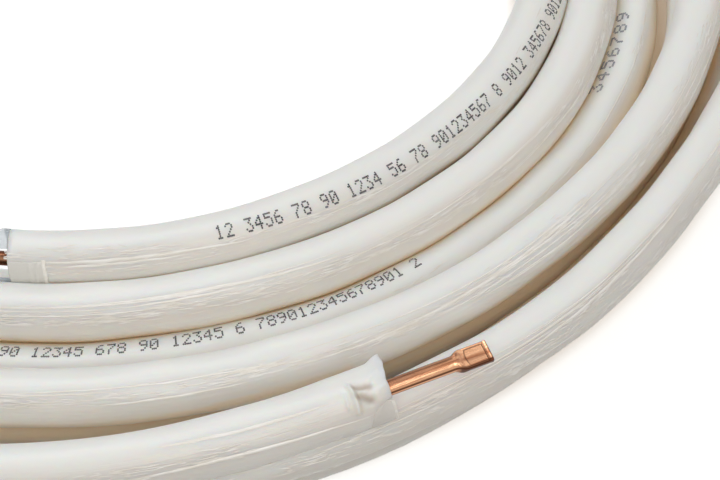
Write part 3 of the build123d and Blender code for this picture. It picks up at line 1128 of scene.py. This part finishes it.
print("wrinkles raised:", len(buildWrinkles().data.polygons), "faces")
buildFlap()
buildTape()
print("films at the ends laid")
for piece in (buildOuterCopper(), buildInnerCopper()):
    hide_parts("copper_tube")
print("copper ends built")

inks = {"fresh": jettedInk("jettedInk", "#404043", "#7E7E80"),
        "rubbed": jettedInk("rubbedInk", "#888C95", "#B2B4B8")}
for name, line in markLines.items():
    printCount(name, line, inks[line["ink"]])
print("counting marks printed")

# Floor and light
studio = {
    "floor": 4.0,              # metres
    "floorColour": "#F4F4F2",
    "floorBounce": "#A8A6A3",  # the floor as the coil sees it
    "floorGlow": (0.55, 0.55, 0.55, 1.0),
    "paintedGlowUnderCoil": (0.22, 0.13, 0.05, 1.0),    # painted shade and painted bounce light: the floor under the coil glows only this dim warm glow
    "coilReach": ((182.0, 195.0), (300.0, 316.0)),   # radii where the floor goes under the coil and its glow fades to the painted one
    "world": 0.395,
    "keyPower": 12.6,
    "keyPlace": (-0.35, 0.75, 1.7),
    "keySize": 1.5,
    "keyColour": "#F7F9FF",
    "fillPower": 8.3,
    "fillPlace": (0.1, -1.35, 1.15),
    "fillSize": 1.0,
    "roomColour": "#FFFCF8",   # the light that the room sends back is a little warmer
    "aim": (0.0, 0.0, 0.03),
}


def whenSeen(tree, plain, seen):
    # the second shader for camera, glossy and transmission rays, the first for the others
    path = addNode(tree, "ShaderNodeLightPath").outputs
    either = path["Is Camera Ray"]
    for name in ("Is Glossy Ray", "Is Transmission Ray"):
        either = addNode(tree, "ShaderNodeMath", {"operation": "MAXIMUM"},
                         {0: either, 1: path[name]}).outputs[0]
    return addNode(tree, "ShaderNodeMixShader", inputs={0: either, 1: plain, 2: seen}).outputs[0]


def buildStudio():
    world = bpy.data.worlds.new("studioWorld")
    bpy.context.scene.world = world
    world.use_nodes = True
    tree = world.node_tree
    tree.nodes.clear()
    soft = addNode(tree, "ShaderNodeBackground",
                   inputs={"Color": linearColour(studio["roomColour"]), "Strength": studio["world"]})
    white = addNode(tree, "ShaderNodeBackground", inputs={"Color": (1, 1, 1, 1), "Strength": 1.0})
    addNode(tree, "ShaderNodeOutputWorld",
            inputs={"Surface": whenSeen(tree, soft.outputs[0], white.outputs[0])})

    # Painted floor, matt: it keeps the coil's shadow, and glows a little so that it is white beside it.
    # Under the coil the glow gives way to a dim warm one: painted shade and painted bounce light.
    material, tree = newMaterial("paleStudioFloor")
    matt = addNode(tree, "ShaderNodeBsdfDiffuse", inputs={"Color": linearColour(studio["floorColour"])})
    spot = addNode(tree, "ShaderNodeNewGeometry").outputs["Position"]
    axis = tuple(value * mm for value in winding["axis"]) + (0.0,)
    away = addNode(tree, "ShaderNodeVectorMath", {"operation": "DISTANCE"},
                   {0: spot, 1: axis}).outputs["Value"]
    past = [addNode(tree, "ShaderNodeMapRange", {"interpolation_type": "SMOOTHSTEP"},
                    {"Value": away, "From Min": first * mm, "From Max": last * mm}).outputs["Result"]
            for first, last in studio["coilReach"]]
    inEye = addNode(tree, "ShaderNodeMath", {"operation": "SUBTRACT"}, {0: 1.0, 1: past[0]}).outputs[0]
    openFloor = addNode(tree, "ShaderNodeMath", {"operation": "ADD"}, {0: inEye, 1: past[1]}).outputs[0]
    shade = addNode(tree, "ShaderNodeMix", {"data_type": "RGBA"},
                    {0: openFloor, 6: studio["paintedGlowUnderCoil"], 7: studio["floorGlow"]}).outputs[2]
    glow = addNode(tree, "ShaderNodeEmission", inputs={"Color": shade})
    lifted = addNode(tree, "ShaderNodeAddShader", inputs={0: matt.outputs[0], 1: glow.outputs[0]})
    bounce = addNode(tree, "ShaderNodeBsdfDiffuse", inputs={"Color": linearColour(studio["floorBounce"])})
    addNode(tree, "ShaderNodeOutputMaterial",
            inputs={"Surface": whenSeen(tree, bounce.outputs[0], lifted.outputs[0])})
    half = studio["floor"] / 2
    corners = [(-half, -half, 0), (half, -half, 0), (half, half, 0), (-half, half, 0)]
    mesh = bpy.data.meshes.new("studioFloor")
    mesh.from_pydata(corners, [], [(0, 1, 2, 3)])
    mesh.materials.append(material)
    floor = bpy.data.objects.new("studioFloor", mesh)
    bpy.context.scene.collection.objects.link(floor)


def areaLight(name, place, size, power, colour):
    data = bpy.data.lights.new(name, "AREA")
    data.shape = "DISK"
    data.size = size
    data.energy = power
    data.color = linearColour(colour)[:3]
    light = bpy.data.objects.new(name, data)
    light.matrix_world = lookMatrix(place, np.array(studio["aim"]) - np.array(place))
    bpy.context.scene.collection.objects.link(light)


def lookMatrix(place, forward):
    forward = np.array(forward, float) / np.linalg.norm(forward)
    right = np.cross(forward, (0, 0, 1))
    right /= np.linalg.norm(right)
    up = np.cross(right, forward)
    turned = np.stack([right, up, -forward], 1).tolist()
    return Matrix([[*row, spot] for row, spot in zip(turned, place)] + [[0, 0, 0, 1]])


buildStudio()
areaLight("keySoftbox", studio["keyPlace"], studio["keySize"], studio["keyPower"], studio["keyColour"])
areaLight("fillSoftbox", studio["fillPlace"], studio["fillSize"], studio["fillPower"], studio["roomColour"])
print("floor and lights placed")

# Camera
view = {
    "place": (3.9, -734.1, 561.1),
    "yaw": 11.2056,            # degrees to the right of +Y
    "down": 45.6408,
    "roll": -4.129,
    "frame": 36.0,             # width of the film, and the lens for it
    "lens": 87.658,
    "shift": (-0.1078, -0.003),
    "clip": (0.01, 20.0),      # metres
}


def buildCamera():
    data = bpy.data.cameras.new("photoCamera")
    data.sensor_width = view["frame"]
    data.lens = view["lens"]
    data.shift_x, data.shift_y = view["shift"]
    data.clip_start, data.clip_end = view["clip"]
    yaw, down, roll = (math.radians(view[key]) for key in ("yaw", "down", "roll"))
    forward = (math.sin(yaw) * math.cos(down), math.cos(yaw) * math.cos(down), -math.sin(down))
    camera = bpy.data.objects.new("photoCamera", data)
    place = [value * mm for value in view["place"]]
    camera.matrix_world = lookMatrix(place, forward) @ Matrix.Rotation(roll, 4, "Z")
    bpy.context.scene.collection.objects.link(camera)
    bpy.context.scene.camera = camera


buildCamera()
bpy.context.scene.view_settings.view_transform = "Standard"
print("camera placed")
